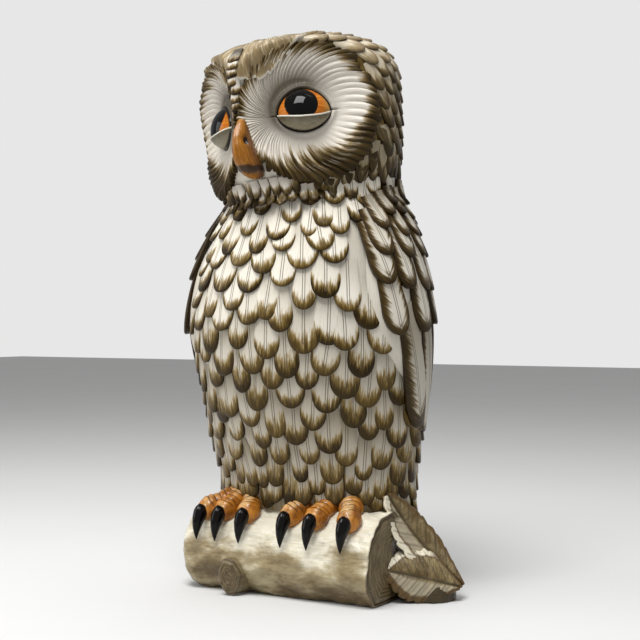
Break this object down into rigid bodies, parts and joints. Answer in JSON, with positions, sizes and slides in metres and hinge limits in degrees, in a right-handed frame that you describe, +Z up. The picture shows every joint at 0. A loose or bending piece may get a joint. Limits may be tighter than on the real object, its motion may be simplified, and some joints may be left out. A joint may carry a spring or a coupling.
{
  "type": "owl figurine",
  "caption": "Tall glazed ceramic owl perched on a short log with leaves at one end, its head cocked, made as an ornament that stands on its log and tail.",
  "frame": {"origin": "on the flat underside of the perch log, on the level the owl stands on, below the middle of the breast", "axes": "the owl faces -Y, its left side is +X along the log, +Z is up"},
  "size_m": [0.2973, 0.2455, 0.5524],
  "materials": {
    "plumage_glaze": "cream-white glazed ceramic, hand brushed in umber on every feather",
    "eye_glass": "glossy orange iris with a black pupil, painted and glazed like glass",
    "lid_glaze": "khaki-grey glazed ceramic with a thin white edge",
    "beak_glaze": "caramel-brown glazed ceramic, darker at the tip",
    "toe_glaze": "amber glazed ceramic with darker speckles and creases",
    "talon_glaze": "glossy black glazed ceramic",
    "bark_glaze": "cream glazed ceramic bark, fading to umber towards the ground",
    "leaf_glaze": "taupe glazed ceramic with dark veins and cream edges"
  },
  "bodies": {
    "root": {"perch_log": "bark_glaze", "log_stub": "bark_glaze", "low_leaf": "leaf_glaze", "high_leaf": "leaf_glaze", "leaf_footing": "leaf_glaze", "torso_shell": "plumage_glaze", "tail": "plumage_glaze", "head_shell": "plumage_glaze", "beak": "beak_glaze", "left_wing": "plumage_glaze", "left_eye": "eye_glass", "left_lower_lid": "lid_glaze", "right_wing": "plumage_glaze", "right_eye": "eye_glass", "right_lower_lid": "lid_glaze", "right_outer_toe": "toe_glaze", "right_outer_talon": "talon_glaze", "right_middle_toe": "toe_glaze", "right_middle_talon": "talon_glaze", "right_inner_toe": "toe_glaze", "right_inner_talon": "talon_glaze", "left_outer_toe": "toe_glaze", "left_outer_talon": "talon_glaze", "left_middle_toe": "toe_glaze", "left_middle_talon": "talon_glaze", "left_inner_toe": "toe_glaze", "left_inner_talon": "talon_glaze"}
  },
  "joints": []
}
